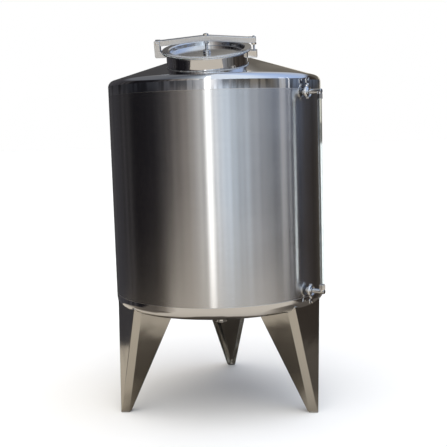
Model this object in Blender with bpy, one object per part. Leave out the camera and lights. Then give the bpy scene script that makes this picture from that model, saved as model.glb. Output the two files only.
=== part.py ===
# A stainless steel storage tank on three folded legs, with a hinged manway and a level gauge.
# Metres, +Z up, -Y is the front. The origin is on the floor, in the middle of the whole tank's outline.
import math

import bmesh
import bpy
from mathutils import Matrix, Vector

# The rear foot stands out behind the shell, so the vessel's axis is a little in front of the origin
AXIS_Y = -0.0176

# Driving dimensions of the vessel
SHELL_RADIUS = 0.600
SHEET = 0.004
SHELL_BOTTOM = 0.655
SHELL_TOP = 1.766
ROOF_FLANGE_TOP = 1.813
ROOF_KNUCKLE = 0.038
ROOF_SLOPE = math.radians(17.0)
BASE_FLANGE_BOTTOM = 0.634
BASE_KNUCKLE = 0.050
BASE_SLOPE = math.radians(8.0)
HEAD_ABOVE = 0.900

# Legs: one sheet bent four times into an outer face, two narrow bevels and two side wings.
# Every face starts at the foot; the outer face and the wings widen with height, the bevels don't.
LEG_HEADINGS = {"front_left": -60.0, "front_right": 60.0, "rear": 180.0}
LEG_SHEET = 0.004
LEG_TOP = 0.655
LEG_FOOT_RADIUS = 0.636
LEG_LEAN = 0.090
LEG_FACE_HALF = 0.004
LEG_FACE_SPREAD = 0.218
LEG_BEVEL_ACROSS = 0.020
LEG_BEVEL_INWARD = 0.039
LEG_WING_START = 0.030
LEG_WING_SPREAD = 0.015
LEG_WING_DEPTH = 0.310
PAD_THICKNESS = 0.008
PAD_CHAMFER = 0.003

# Manway: a short neck square to the roof's front slope
MANWAY_REACH = 0.342
NECK_RADIUS = 0.213
NECK_RISE = 0.066
NECK_DROP = 0.050
RIM_RADIUS = 0.235
RIM_THICKNESS = 0.006
RIM_BEVEL = 0.0015
GASKET_THICKNESS = 0.003
LID_RADIUS = 0.234
LID_PAN_RADIUS = 0.198
LID_PAN_DEPTH = 0.026
LID_PAN_CROWN = 0.002
LID_SHEET = 0.003
BOSS_RADIUS = 0.020
BOSS_HEIGHT = 0.016

# Yoke bar across the lid, hinged on the left and screwed down on the right.
# In the manway's own axes U runs across, V up the slope and W out of the manway.
HINGE_U = -0.258
HINGE_W = 0.042
YOKE_WIDTH = 0.030
YOKE_HEIGHT = 0.029
YOKE_PEAK = 0.017
YOKE_PEAK_HALF = 0.020
YOKE_LEVEL_END = 0.030
YOKE_TAIL = 0.012
PIN_RADIUS = 0.006
PIN_FIT = 0.0004
PIN_PROUD = 0.006
EAR_THICKNESS = 0.008
EAR_CLEARANCE = 0.0015
EAR_LOW_W = -0.032
EAR_OUTER_U = HINGE_U - 0.014
EAR_INNER_U = HINGE_U + 0.015
EAR_RISE = 0.014
EAR_CHAMFER = 0.006
SPINDLE_RADIUS = 0.008
SPINDLE_PROUD = 0.010
SPINDLE_NUT_RADIUS = 0.014
LOWER_NUT_HEIGHT = 0.012
UPPER_NUT_HEIGHT = 0.008
SCREW_U = 0.2475
SCREW_RADIUS = 0.006
SCREW_LOW_W = -0.042
SCREW_PROUD = 0.006
SCREW_NUT_RADIUS = 0.013
SCREW_NUT_HEIGHT = 0.010
LUG_HALF = 0.022
LUG_PROUD = 0.016
LUG_LOW_W = -0.048
LUG_HIGH_W = -0.012
LUG_SLOT_HALF = 0.009

# Level gauge on the right
GAUGE_HEADING = 57.0
GAUGE_TOP = 1.748
GAUGE_BASE = 0.690
GAUGE_STANDOFF = 0.094
NOZZLE_RADIUS = 0.0127
NOZZLE_WALL = 0.0015
NOZZLE_LENGTH = 0.022
NOZZLE_INSET = 0.007
FERRULE_RADIUS = 0.02525
FERRULE_THICKNESS = 0.003
CLAMP_RADIUS = 0.031
CLAMP_WIDTH = 0.015
WING_NUT_THICKNESS = 0.007
GLASS_RADIUS = 0.011
GLASS_WALL = 0.002
GAUGE_NUT_RADIUS = 0.018
GAUGE_NUT_HEIGHT = 0.026
GAUGE_NUT_SHELF = 0.006

# Bottom outlet
OUTLET_RADIUS = 0.0255
OUTLET_WALL = 0.0015
OUTLET_LENGTH = 0.070
OUTLET_INSET = 0.006
OUTLET_FERRULE_RADIUS = 0.032
OUTLET_LIP = 0.006

GAP = 0.0003
ROUND = 72
SMALL_ROUND = 24
KNUCKLE_STEPS = 5
SMOOTH_ANGLE = math.radians(30.0)
UP = Vector((0.0, 0.0, 1.0))

COLOURS = {
    "brushed": ((0.56, 0.55, 0.54), 0.34),
    "polished": ((0.66, 0.66, 0.67), 0.10),
    "leg": ((0.52, 0.49, 0.45), 0.22),
    "fitting": ((0.70, 0.70, 0.70), 0.16),
    "gasket": ((0.82, 0.82, 0.80), 0.55),
    "glass": ((0.85, 0.90, 0.90), 0.05),
}


def clear_scene():
    for obj in list(bpy.data.objects):
        bpy.data.objects.remove(obj, do_unlink=True)


def make_material(name, finish):
    colour, roughness = COLOURS[finish]
    material = bpy.data.materials.new(name)
    material.use_nodes = True
    shader = material.node_tree.nodes["Principled BSDF"]
    shader.inputs["Base Color"].default_value = (*colour, 1.0)
    shader.inputs["Roughness"].default_value = roughness
    shader.inputs["Metallic"].default_value = 0.0 if finish in ("gasket", "glass") else 1.0
    return material


def add_object(name, bm, parent, finish=None, offset=(0.0, 0.0, 0.0), smooth=True):
    """Turns a bmesh into a named object; offset moves the shape into its parent's own axes."""
    bmesh.ops.translate(bm, verts=bm.verts, vec=-Vector(offset))
    bmesh.ops.recalc_face_normals(bm, faces=bm.faces)
    mesh = bpy.data.meshes.new(name)
    bm.to_mesh(mesh)
    bm.free()
    if smooth:
        mesh.shade_smooth()
        mesh.set_sharp_from_angle(angle=SMOOTH_ANGLE)
    obj = bpy.data.objects.new(name, mesh)
    bpy.context.scene.collection.objects.link(obj)
    if finish is not None:
        mesh.materials.append(make_material(name, finish))
    obj.parent = parent
    return obj


def cut(obj, cutter):
    """Takes the cutter's shape out of the object, and hides the cutter."""
    cutter.hide_render = True
    cutter.display_type = "WIRE"
    modifier = obj.modifiers.new("cut_" + cutter.name, "BOOLEAN")
    modifier.operation = "DIFFERENCE"
    modifier.solver = "EXACT"
    modifier.object = cutter


def datum(name, matrix, parent=None):
    empty = bpy.data.objects.new(name, None)
    bpy.context.scene.collection.objects.link(empty)
    empty.parent = parent
    empty.matrix_local = matrix
    return empty


def axes_matrix(origin, x_axis, y_axis, z_axis):
    columns = [Vector(x_axis), Vector(y_axis), Vector(z_axis)]
    rotation = Matrix([[column[row] for column in columns] for row in range(3)]).to_4x4()
    return Matrix.Translation(Vector(origin)) @ rotation


def heading_vector(degrees):
    """The level direction at this angle from the front (-Y), turning towards +X."""
    angle = math.radians(degrees)
    return Vector((math.sin(angle), -math.cos(angle), 0.0))


def turned(profile, segments=ROUND, centre=(0.0, 0.0)):
    """A closed outline of (radius, height) points turned about Z; points on the axis become one."""
    bm = bmesh.new()
    turns = [2.0 * math.pi * k / segments for k in range(segments)]
    rings = []
    for radius, height in profile:
        count = 1 if radius == 0.0 else segments
        rings.append([bm.verts.new((centre[0] + radius * math.cos(a), centre[1] + radius * math.sin(a), height))
                      for a in turns[:count]])
    for ring, following in zip(rings, rings[1:] + rings[:1]):
        if len(ring) == 1 and len(following) == 1:
            continue
        for k in range(segments):
            corners = [ring[k % len(ring)], ring[(k + 1) % len(ring)],
                       following[(k + 1) % len(following)], following[k % len(following)]]
            bm.faces.new(list(dict.fromkeys(corners)))
    return bm


def loft(near_points, far_points):
    """A solid between two outlines of as many points each."""
    bm = bmesh.new()
    near = [bm.verts.new(point) for point in near_points]
    far = [bm.verts.new(point) for point in far_points]
    bm.faces.new(near)
    bm.faces.new(list(reversed(far)))
    for k in range(len(near)):
        following = (k + 1) % len(near)
        bm.faces.new([near[k], far[k], far[following], near[following]])
    return bm


def extruded(outline, low, high, plane="XY"):
    """A flat outline pushed from low to high along the axis that its plane leaves out."""
    def point(a, b, c):
        return (a, b, c) if plane == "XY" else (a, c, b)

    return loft([point(a, b, low) for a, b in outline], [point(a, b, high) for a, b in outline])


def circle_outline(radius, segments=SMALL_ROUND, centre=(0.0, 0.0)):
    turns = [2.0 * math.pi * k / segments for k in range(segments)]
    return [(centre[0] + radius * math.cos(a), centre[1] + radius * math.sin(a)) for a in turns]


def arc_points(centre, radius, start_degrees, end_degrees):
    points = []
    for k in range(KNUCKLE_STEPS + 1):
        angle = math.radians(start_degrees + (end_degrees - start_degrees) * k / KNUCKLE_STEPS)
        points.append((centre[0] + radius * math.cos(angle), centre[1] + radius * math.sin(angle)))
    return points


def mirrored(half_outline):
    """A half outline of (across, inward) points, carried over to the other side in front of itself."""
    return [(-a, b) for a, b in reversed(half_outline)] + list(half_outline)


def inset_outline(points, distance):
    """An open outline moved sideways by a sheet's thickness, with mitred corners."""
    directions = [(Vector(b) - Vector(a)).normalized() for a, b in zip(points, points[1:])]
    sides = [Vector((-d.y, d.x)) for d in directions]
    moved = []
    for k, point in enumerate(points):
        before = sides[max(k - 1, 0)]
        after = sides[min(k, len(sides) - 1)]
        mitre = (before + after).normalized()
        moved.append(tuple(Vector(point) + mitre * (distance / mitre.dot(after))))
    return moved


def roof_outline(inset):
    """Outer face of the roof, from its flange up to the axis, moved inwards by inset."""
    radius = SHELL_RADIUS - inset
    knuckle = ROOF_KNUCKLE - inset
    centre = (SHELL_RADIUS - ROOF_KNUCKLE, ROOF_FLANGE_TOP)
    points = [(radius, SHELL_TOP + GAP)] + arc_points(centre, knuckle, 0.0, 90.0 - math.degrees(ROOF_SLOPE))
    tangent_radius, tangent_height = points[-1]
    points.append((0.0, tangent_height + tangent_radius * math.tan(ROOF_SLOPE)))
    return points


def base_outline(inset):
    """Outer face of the bottom, from its flange down to the axis, moved inwards by inset."""
    radius = SHELL_RADIUS - inset
    knuckle = BASE_KNUCKLE - inset
    centre = (SHELL_RADIUS - BASE_KNUCKLE, BASE_FLANGE_BOTTOM)
    points = [(radius, SHELL_BOTTOM - GAP)] + arc_points(centre, knuckle, 0.0, -90.0 + math.degrees(BASE_SLOPE))
    tangent_radius, tangent_height = points[-1]
    points.append((0.0, tangent_height - tangent_radius * math.tan(BASE_SLOPE)))
    return points


def roof_height(radius):
    """Height of the cone's outer face at this distance from the axis."""
    return roof_outline(0.0)[-1][1] - radius * math.tan(ROOF_SLOPE)


def gauge_radial_matrix(height):
    """Axes on the vessel's axis at this height, with Z outwards through the gauge."""
    out = heading_vector(GAUGE_HEADING)
    return axes_matrix((0.0, 0.0, height), UP.cross(out), UP, out)


def gauge_upright_matrix(height):
    """Axes on the vessel's axis at this height, with X outwards through the gauge and Z up."""
    out = heading_vector(GAUGE_HEADING)
    return axes_matrix((0.0, 0.0, height), out, UP.cross(out), UP)


def manway_matrix():
    """Axes at the middle of the rim's top: X across, Y up the slope, Z out of the manway."""
    down = heading_vector(0.0)
    out = down * math.sin(ROOF_SLOPE) + UP * math.cos(ROOF_SLOPE)
    across = Vector((-down.y, down.x, 0.0))
    base = down * MANWAY_REACH + UP * roof_height(MANWAY_REACH)
    return axes_matrix(base + out * NECK_RISE, across, out.cross(across), out)


def make_shell(tank):
    inner = SHELL_RADIUS - SHEET
    profile = [(SHELL_RADIUS, SHELL_BOTTOM), (SHELL_RADIUS, SHELL_TOP), (inner, SHELL_TOP), (inner, SHELL_BOTTOM)]
    shell = add_object("shell_wall", turned(profile), tank, "brushed")
    reach = 0.05
    for name, height in (("upper", GAUGE_TOP), ("lower", GAUGE_BASE)):
        drill = extruded(circle_outline(NOZZLE_RADIUS + GAP), SHELL_RADIUS - reach, SHELL_RADIUS + reach)
        cutter = add_object("shell_drill_" + name, drill, tank)
        cutter.matrix_local = gauge_radial_matrix(height)
        cut(shell, cutter)


def make_roof(tank, manway):
    profile = roof_outline(0.0) + list(reversed(roof_outline(SHEET)))
    roof = add_object("cone_roof", turned(profile), tank, "polished")
    hole = extruded(circle_outline(NECK_RADIUS + GAP, ROUND), -0.25, 0.15)
    cut(roof, add_object("manway_cutter", hole, manway))


def make_base(tank):
    profile = base_outline(0.0) + list(reversed(base_outline(SHEET)))
    base = add_object("bottom_head", turned(profile), tank, "polished")
    hole = extruded(circle_outline(OUTLET_RADIUS + GAP), 0.3, 0.8)
    cut(base, add_object("outlet_cutter", hole, tank))


def make_outlet(tank):
    """A drain stub under the middle of the bottom, ending in a clamp ferrule."""
    top = base_outline(0.0)[-1][1] + OUTLET_INSET
    low = top - OUTLET_LENGTH
    bore = OUTLET_RADIUS - OUTLET_WALL
    profile = [(OUTLET_RADIUS, top), (OUTLET_RADIUS, low + OUTLET_LIP), (OUTLET_FERRULE_RADIUS, low + OUTLET_LIP / 2.0),
               (OUTLET_FERRULE_RADIUS, low), (bore, low), (bore, top)]
    add_object("bottom_outlet", turned(profile, 2 * SMALL_ROUND), tank, "fitting")


def leg_section(height):
    """The leg's closed outline at this height, as (across, inward) points."""
    grown = height + LEG_WING_START
    face = LEG_FACE_HALF + LEG_FACE_SPREAD * height
    bevel = (face + LEG_BEVEL_ACROSS, LEG_BEVEL_INWARD)
    wing = (bevel[0] + LEG_WING_SPREAD * grown, bevel[1] + LEG_WING_DEPTH * grown)
    outer = mirrored([(face, 0.0), bevel, wing])
    return outer + list(reversed(inset_outline(outer, LEG_SHEET)))


def leg_points(height):
    radius = LEG_FOOT_RADIUS - LEG_LEAN * height
    return [(across, inward - radius, height) for across, inward in leg_section(height)]


def pad_points(height, inset):
    """The foot pad's outline: it closes the narrow vee that the leg's sheet makes at the floor."""
    back = LEG_BEVEL_INWARD + LEG_WING_DEPTH * LEG_WING_START
    half = LEG_FACE_HALF + LEG_BEVEL_ACROSS
    outline = [(-LEG_FACE_HALF, inset), (LEG_FACE_HALF, inset), (half - inset, LEG_BEVEL_INWARD),
               (half - inset, back - inset), (-half + inset, back - inset), (-half + inset, LEG_BEVEL_INWARD)]
    return [(across, inward - LEG_FOOT_RADIUS, height) for across, inward in outline]


def make_foot_pad(name, tank):
    bm = loft(pad_points(0.0, 2.0 * PAD_CHAMFER), pad_points(PAD_CHAMFER, PAD_CHAMFER / 2.0))
    top = [bm.verts.new(point) for point in pad_points(PAD_THICKNESS, PAD_CHAMFER / 2.0)]
    bm.verts.ensure_lookup_table()
    bm.faces.ensure_lookup_table()
    count = len(top)
    middle = bm.verts[count:2 * count]
    bm.faces.remove(bm.faces[1])
    bm.faces.new(top)
    for k in range(count):
        following = (k + 1) % count
        bm.faces.new([middle[k], top[k], top[following], middle[following]])
    return add_object(name, bm, tank, "leg", smooth=False)


def make_legs(tank):
    swollen = [(radius + GAP if radius > 0.0 else 0.0, height) for radius, height in base_outline(-GAP)]
    profile = [(0.0, HEAD_ABOVE), (SHELL_RADIUS + GAP, HEAD_ABOVE)] + swollen
    vessel = add_object("vessel_cutter", turned(profile), tank)
    for side, heading in LEG_HEADINGS.items():
        sheet = loft(leg_points(PAD_THICKNESS + GAP), leg_points(LEG_TOP))
        leg = add_object("leg_" + side, sheet, tank, "leg", smooth=False)
        pad = make_foot_pad("foot_pad_" + side, tank)
        for piece in (leg, pad):
            piece.rotation_euler = (0.0, 0.0, math.radians(heading))
        cut(leg, vessel)


def make_neck(manway):
    inner = NECK_RADIUS - SHEET
    top = -RIM_THICKNESS - GAP
    low = -NECK_RISE - NECK_DROP
    neck = [(NECK_RADIUS, low), (NECK_RADIUS, top), (inner, top), (inner, low)]
    add_object("manway_neck", turned(neck), manway, "polished")
    rim = [(RIM_RADIUS, RIM_BEVEL - RIM_THICKNESS), (RIM_RADIUS, -RIM_BEVEL), (RIM_RADIUS - RIM_BEVEL, 0.0),
           (inner, 0.0), (inner, -RIM_THICKNESS), (RIM_RADIUS - RIM_BEVEL, -RIM_THICKNESS)]
    add_object("manway_rim", turned(rim), manway, "polished")


def make_hinge_bracket(manway):
    """Two ears on the left of the neck, with the hinge pin through them."""
    start = YOKE_WIDTH / 2.0 + EAR_CLEARANCE
    end = start + EAR_THICKNESS
    neck_u = -math.sqrt(NECK_RADIUS ** 2 - start ** 2) - 2.0 * GAP
    rim_u = -RIM_RADIUS - EAR_CLEARANCE
    below_rim = -RIM_THICKNESS - EAR_CLEARANCE
    top = HINGE_W + EAR_RISE
    outline = [(EAR_OUTER_U, EAR_LOW_W + EAR_CHAMFER), (EAR_OUTER_U + EAR_CHAMFER, EAR_LOW_W), (neck_u, EAR_LOW_W),
               (neck_u, below_rim), (rim_u, below_rim), (rim_u, -RIM_THICKNESS / 2.0), (EAR_INNER_U, 0.0),
               (EAR_INNER_U, top - EAR_CHAMFER), (EAR_INNER_U - EAR_CHAMFER, top),
               (EAR_OUTER_U + EAR_CHAMFER, top), (EAR_OUTER_U, top - EAR_CHAMFER)]
    centre = (HINGE_U, HINGE_W)
    for name, low in (("lower", -end), ("upper", start)):
        ear = add_object("hinge_ear_" + name, extruded(outline, low, low + EAR_THICKNESS, "XZ"), manway, "fitting",
                         smooth=False)
        drill = extruded(circle_outline(PIN_RADIUS + GAP, centre=centre), -2.0 * end, 2.0 * end, "XZ")
        cut(ear, add_object("ear_drill_" + name, drill, manway))
    pin = extruded(circle_outline(PIN_RADIUS, centre=centre), -end - PIN_PROUD, end + PIN_PROUD, "XZ")
    add_object("hinge_pin", pin, manway, "fitting")


def make_latch_lug(manway):
    """The slotted lug on the right of the neck that takes the foot of the clamp screw."""
    outer_u = SCREW_U + LUG_PROUD
    neck_u = NECK_RADIUS + 2.0 * GAP
    block = [(neck_u, -LUG_HALF), (outer_u, -LUG_HALF), (outer_u, LUG_HALF), (neck_u, LUG_HALF)]
    lug = add_object("latch_lug", extruded(block, LUG_LOW_W, LUG_HIGH_W), manway, "fitting", smooth=False)
    past = 0.02
    slot = [(SCREW_U - LUG_SLOT_HALF, -LUG_SLOT_HALF), (outer_u + past, -LUG_SLOT_HALF),
            (outer_u + past, LUG_SLOT_HALF), (SCREW_U - LUG_SLOT_HALF, LUG_SLOT_HALF)]
    cut(lug, add_object("lug_slot_cutter", extruded(slot, LUG_LOW_W - past, LUG_HIGH_W + past), manway))


def lid_pan_top():
    """W of the lid's face in the middle of its pan."""
    return 2.0 * GAP + GASKET_THICKNESS + LID_SHEET - LID_PAN_DEPTH + LID_PAN_CROWN


def make_lid(lid_hinge):
    pin = (HINGE_U, 0.0, HINGE_W)
    gasket_top = GAP + GASKET_THICKNESS
    inner = NECK_RADIUS - SHEET + 0.001
    outer = LID_RADIUS - 0.002
    gasket = [(outer, GAP), (outer, gasket_top), (inner, gasket_top), (inner, GAP)]
    add_object("lid_gasket", turned(gasket), lid_hinge, "gasket", pin)

    seat = gasket_top + GAP
    top = seat + LID_SHEET
    pan = LID_PAN_RADIUS
    low = top - LID_PAN_DEPTH
    middle = lid_pan_top()
    soft = 0.004
    profile = [(LID_RADIUS, seat), (LID_RADIUS, top), (pan + LID_SHEET, top), (pan - LID_SHEET, top - soft),
               (pan - LID_SHEET - soft, low), (0.0, middle), (0.0, middle - LID_SHEET),
               (pan - soft, low - LID_SHEET), (pan, seat)]
    add_object("manway_lid", turned(profile), lid_hinge, "polished", pin)

    foot = middle + GAP
    head = foot + BOSS_HEIGHT
    boss = [(BOSS_RADIUS, foot), (BOSS_RADIUS, head - soft), (BOSS_RADIUS - soft, head), (0.0, head), (0.0, foot)]
    add_object("lid_boss", turned(boss, SMALL_ROUND), lid_hinge, "fitting", pin)


def yoke_outline():
    """The bar's side view: two arms that rise to a peak over the lid's centre."""
    low = HINGE_W - YOKE_HEIGHT / 2.0
    underside = [(HINGE_U - YOKE_TAIL, low), (HINGE_U + YOKE_LEVEL_END, low), (-YOKE_PEAK_HALF, low + YOKE_PEAK),
                 (YOKE_PEAK_HALF, low + YOKE_PEAK), (SCREW_U - YOKE_LEVEL_END, low), (SCREW_U + YOKE_TAIL, low)]
    return underside + [(u, w + YOKE_HEIGHT) for u, w in reversed(underside)]


def add_nut(name, lid_hinge, centre_u, radius, low, high, bore):
    """A hexagon nut on the yoke's screws, bored to let the screw through."""
    pin = (HINGE_U, 0.0, HINGE_W)
    centre = (centre_u, 0.0)
    nut = add_object(name, extruded(circle_outline(radius, 6, centre), low, high), lid_hinge, "fitting", pin, smooth=False)
    past = 0.02
    drill = extruded(circle_outline(bore, centre=centre), low - past, high + past)
    cut(nut, add_object(name + "_drill", drill, lid_hinge, None, pin))


def make_yoke(lid_hinge):
    pin = (HINGE_U, 0.0, HINGE_W)
    half = YOKE_WIDTH / 2.0
    low = HINGE_W - YOKE_HEIGHT / 2.0
    high = low + YOKE_HEIGHT
    yoke = add_object("yoke_bar", extruded(yoke_outline(), -half, half, "XZ"), lid_hinge, "fitting", pin, smooth=False)
    bore = extruded(circle_outline(PIN_RADIUS + PIN_FIT, centre=(HINGE_U, HINGE_W)), -2.0 * half, 2.0 * half, "XZ")
    cut(yoke, add_object("yoke_pin_drill", bore, lid_hinge, None, pin))
    for name, across in (("spindle", 0.0), ("screw", SCREW_U)):
        hole = extruded(circle_outline(SPINDLE_RADIUS + GAP, centre=(across, 0.0)), low - 0.05, high + 0.05)
        cut(yoke, add_object("yoke_drill_" + name, hole, lid_hinge, None, pin))

    spindle_low = lid_pan_top() + GAP + BOSS_HEIGHT + GAP
    spindle_high = high + YOKE_PEAK + SPINDLE_PROUD
    spindle = [(SPINDLE_RADIUS, spindle_low), (SPINDLE_RADIUS, spindle_high), (0.0, spindle_high), (0.0, spindle_low)]
    add_object("clamp_spindle", turned(spindle, SMALL_ROUND), lid_hinge, "fitting", pin)
    under_bar = low + YOKE_PEAK - GAP
    over_bar = high + YOKE_PEAK + GAP
    bore = SPINDLE_RADIUS + GAP
    add_nut("spindle_nut_lower", lid_hinge, 0.0, SPINDLE_NUT_RADIUS, under_bar - LOWER_NUT_HEIGHT, under_bar, bore)
    add_nut("spindle_nut_upper", lid_hinge, 0.0, SPINDLE_NUT_RADIUS, over_bar, over_bar + UPPER_NUT_HEIGHT, bore)

    screw_high = high + SCREW_PROUD
    screw = [(SCREW_RADIUS, SCREW_LOW_W), (SCREW_RADIUS, screw_high), (0.0, screw_high), (0.0, SCREW_LOW_W)]
    add_object("clamp_screw", turned(screw, SMALL_ROUND, (SCREW_U, 0.0)), lid_hinge, "fitting", pin)
    under_tail = low - GAP
    add_nut("screw_nut", lid_hinge, SCREW_U, SCREW_NUT_RADIUS, under_tail - SCREW_NUT_HEIGHT, under_tail,
            SCREW_RADIUS + GAP)


def wing_nut_outline(up):
    """A clamp's wing nut, drawn from the clamp outwards; up is 1 above the clamp and -1 below it."""
    half = [(0.005, 0.0), (0.006, 0.010), (0.016, 0.016), (0.018, 0.036), (0.011, 0.045), (0.0045, 0.028)]
    start = CLAMP_RADIUS + GAP
    return [(x, up * (start + y)) for x, y in half] + [(-x, up * (start + y)) for x, y in reversed(half)]


def make_gauge_end(tank, name, height, inward, wing_up):
    """One end of the gauge; inward is the way to the glass, 1 for up and -1 for down."""
    radial = datum("gauge_radial_" + name, gauge_radial_matrix(height), tank)
    start = SHELL_RADIUS - NOZZLE_INSET
    face = SHELL_RADIUS + NOZZLE_LENGTH
    lip = FERRULE_THICKNESS
    bore = NOZZLE_RADIUS - NOZZLE_WALL
    nozzle = [(NOZZLE_RADIUS, start), (NOZZLE_RADIUS, face - lip), (FERRULE_RADIUS, face - lip),
              (FERRULE_RADIUS, face), (bore, face), (bore, start)]
    add_object("gauge_nozzle_" + name, turned(nozzle, SMALL_ROUND), radial, "fitting")

    low, high = face + (GAP - CLAMP_WIDTH) / 2.0, face + (GAP + CLAMP_WIDTH) / 2.0
    clamp_bore = FERRULE_RADIUS + GAP
    clamp = [(CLAMP_RADIUS, low), (CLAMP_RADIUS, high), (clamp_bore, high), (clamp_bore, low)]
    add_object("gauge_clamp_" + name, turned(clamp, SMALL_ROUND), radial, "fitting")
    half = WING_NUT_THICKNESS / 2.0
    wing_nut = extruded(wing_nut_outline(wing_up), face - half, face + half)
    add_object("gauge_wing_nut_" + name, wing_nut, radial, "fitting", smooth=False)

    near = face + GAP
    far = SHELL_RADIUS + GAUGE_STANDOFF + NOZZLE_RADIUS
    arm = [(FERRULE_RADIUS, near), (FERRULE_RADIUS, near + lip), (NOZZLE_RADIUS, near + lip), (NOZZLE_RADIUS, far),
           (0.0, far), (0.0, near)]
    add_object("gauge_arm_" + name, turned(arm, SMALL_ROUND), radial, "fitting")

    upright = datum("gauge_upright_" + name, gauge_upright_matrix(height), tank)
    centre = (SHELL_RADIUS + GAUGE_STANDOFF, 0.0)
    foot = NOZZLE_RADIUS + GAP
    low, high = sorted((inward * foot, inward * (foot + GAUGE_NUT_HEIGHT)))
    nut = extruded(circle_outline(GAUGE_NUT_RADIUS, 6, centre), low, high)
    nut_object = add_object("gauge_nut_" + name, nut, upright, "fitting", smooth=False)
    low, high = sorted((inward * (foot + GAUGE_NUT_SHELF), inward * (foot + 2.0 * GAUGE_NUT_HEIGHT)))
    socket = extruded(circle_outline(GLASS_RADIUS + GAP, centre=centre), low, high)
    cut(nut_object, add_object("gauge_socket_" + name, socket, upright))


def make_gauge(tank):
    make_gauge_end(tank, "upper", GAUGE_TOP, -1.0, 1.0)
    make_gauge_end(tank, "lower", GAUGE_BASE, 1.0, -1.0)
    inset = NOZZLE_RADIUS + GAUGE_NUT_SHELF + 2.0 * GAP
    low, high = GAUGE_BASE + inset, GAUGE_TOP - inset
    inner = GLASS_RADIUS - GLASS_WALL
    middle = heading_vector(GAUGE_HEADING) * (SHELL_RADIUS + GAUGE_STANDOFF)
    profile = [(GLASS_RADIUS, low), (GLASS_RADIUS, high), (inner, high), (inner, low)]
    add_object("sight_glass", turned(profile, SMALL_ROUND, (middle.x, middle.y)), tank, "glass")


def main():
    clear_scene()
    tank = datum("tank_axis", Matrix.Translation((0.0, AXIS_Y, 0.0)))
    manway = datum("manway_datum", manway_matrix(), tank)
    lid_hinge = datum("lid_hinge", Matrix.Translation((HINGE_U, 0.0, HINGE_W)), manway)
    make_shell(tank)
    make_roof(tank, manway)
    make_base(tank)
    make_outlet(tank)
    make_legs(tank)
    make_neck(manway)
    make_hinge_bracket(manway)
    make_latch_lug(manway)
    make_lid(lid_hinge)
    make_yoke(lid_hinge)
    make_gauge(tank)
    bpy.context.view_layer.update()


main()
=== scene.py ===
import math

import bmesh
import bpy
from mathutils import Matrix, Vector


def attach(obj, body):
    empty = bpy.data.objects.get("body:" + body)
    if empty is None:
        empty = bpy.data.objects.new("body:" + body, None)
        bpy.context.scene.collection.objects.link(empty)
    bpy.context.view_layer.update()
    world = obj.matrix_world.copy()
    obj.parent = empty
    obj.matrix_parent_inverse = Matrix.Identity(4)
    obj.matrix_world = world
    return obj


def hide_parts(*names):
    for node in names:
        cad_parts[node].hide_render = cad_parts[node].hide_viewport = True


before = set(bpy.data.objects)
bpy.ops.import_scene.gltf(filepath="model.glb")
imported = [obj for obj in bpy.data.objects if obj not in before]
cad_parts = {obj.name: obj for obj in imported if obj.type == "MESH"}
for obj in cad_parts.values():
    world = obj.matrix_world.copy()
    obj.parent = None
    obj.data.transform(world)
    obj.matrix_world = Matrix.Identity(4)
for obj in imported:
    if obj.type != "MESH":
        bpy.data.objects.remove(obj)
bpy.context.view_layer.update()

# Vessel
AXIS_Y = -0.0176
SHELL_RADIUS = 0.600
SHEET = 0.004
SHELL_BOTTOM = 0.655
SHELL_TOP = 1.766
ROOF_FLANGE_TOP = 1.813
ROOF_KNUCKLE = 0.038
ROOF_SLOPE = math.radians(17.0)
APEX_ROUND = 0.020
BASE_FLANGE_BOTTOM = 0.634
BASE_KNUCKLE = 0.050
BASE_SLOPE = math.radians(8.0)
VESSEL_COLUMNS = 360
SHELL_ROWS = 12
KNUCKLE_STEPS = 14
CONE_ROWS = 48
BASE_ROWS = 10
UPRIGHT_ROWS = 40

# Legs
LEG_HEADINGS = {"front_left": -60.0, "front_right": 60.0, "rear": 180.0}
LEG_SHEET = 0.004
LEG_FOOT_RADIUS = 0.636
LEG_LEAN = 0.090
LEG_FACE_HALF = 0.004
LEG_FACE_SPREAD = 0.218
LEG_BEVEL_ACROSS = 0.020
LEG_BEVEL_INWARD = 0.039
LEG_WING_START = 0.030
LEG_WING_SPREAD = 0.015
LEG_WING_DEPTH = 0.310
LEG_BEND = 0.007
LEG_ROWS = 20
PAD_THICKNESS = 0.008
PAD_INSET = 0.0005

# Manway, in its own axes: U across, V up the slope, W out of it
MANWAY_REACH = 0.342
NECK_RADIUS = 0.213
NECK_RISE = 0.066
NECK_DROP = 0.050
RIM_RADIUS = 0.235
RIM_THICKNESS = 0.006
GASKET_THICKNESS = 0.003
GASKET_INSET = 0.002
GASKET_OVERLAP = 0.001
LID_RADIUS = 0.234
LID_PAN_RADIUS = 0.198
LID_PAN_DEPTH = 0.026
LID_PAN_CROWN = 0.002
LID_PAN_DRAFT = 0.004
LID_SHEET = 0.003
DISH_SHARES = (0.9, 0.75, 0.6, 0.45, 0.3, 0.15, 0.0)
BOSS_RADIUS = 0.020
BOSS_HEIGHT = 0.016
HINGE_U = -0.258
HINGE_W = 0.042
YOKE_WIDTH = 0.030
YOKE_HEIGHT = 0.029
YOKE_PEAK = 0.017
YOKE_PEAK_HALF = 0.020
YOKE_LEVEL_END = 0.030
YOKE_TAIL = 0.012
PIN_RADIUS = 0.006
PIN_PROUD = 0.006
EAR_THICKNESS = 0.008
EAR_CLEARANCE = 0.0015
EAR_LOW_W = -0.032
EAR_OUTER_U = HINGE_U - 0.014
EAR_INNER_U = HINGE_U + 0.015
EAR_RISE = 0.014
EAR_CHAMFER = 0.006
SPINDLE_RADIUS = 0.008
SPINDLE_PROUD = 0.010
SPINDLE_PITCH = 0.002
SPINDLE_NUT_RADIUS = 0.014
LOWER_NUT_HEIGHT = 0.012
UPPER_NUT_HEIGHT = 0.008
SCREW_U = 0.2475
SCREW_RADIUS = 0.006
SCREW_LOW_W = -0.042
SCREW_PROUD = 0.006
SCREW_PITCH = 0.00175
SCREW_NUT_RADIUS = 0.013
SCREW_NUT_HEIGHT = 0.010
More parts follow.
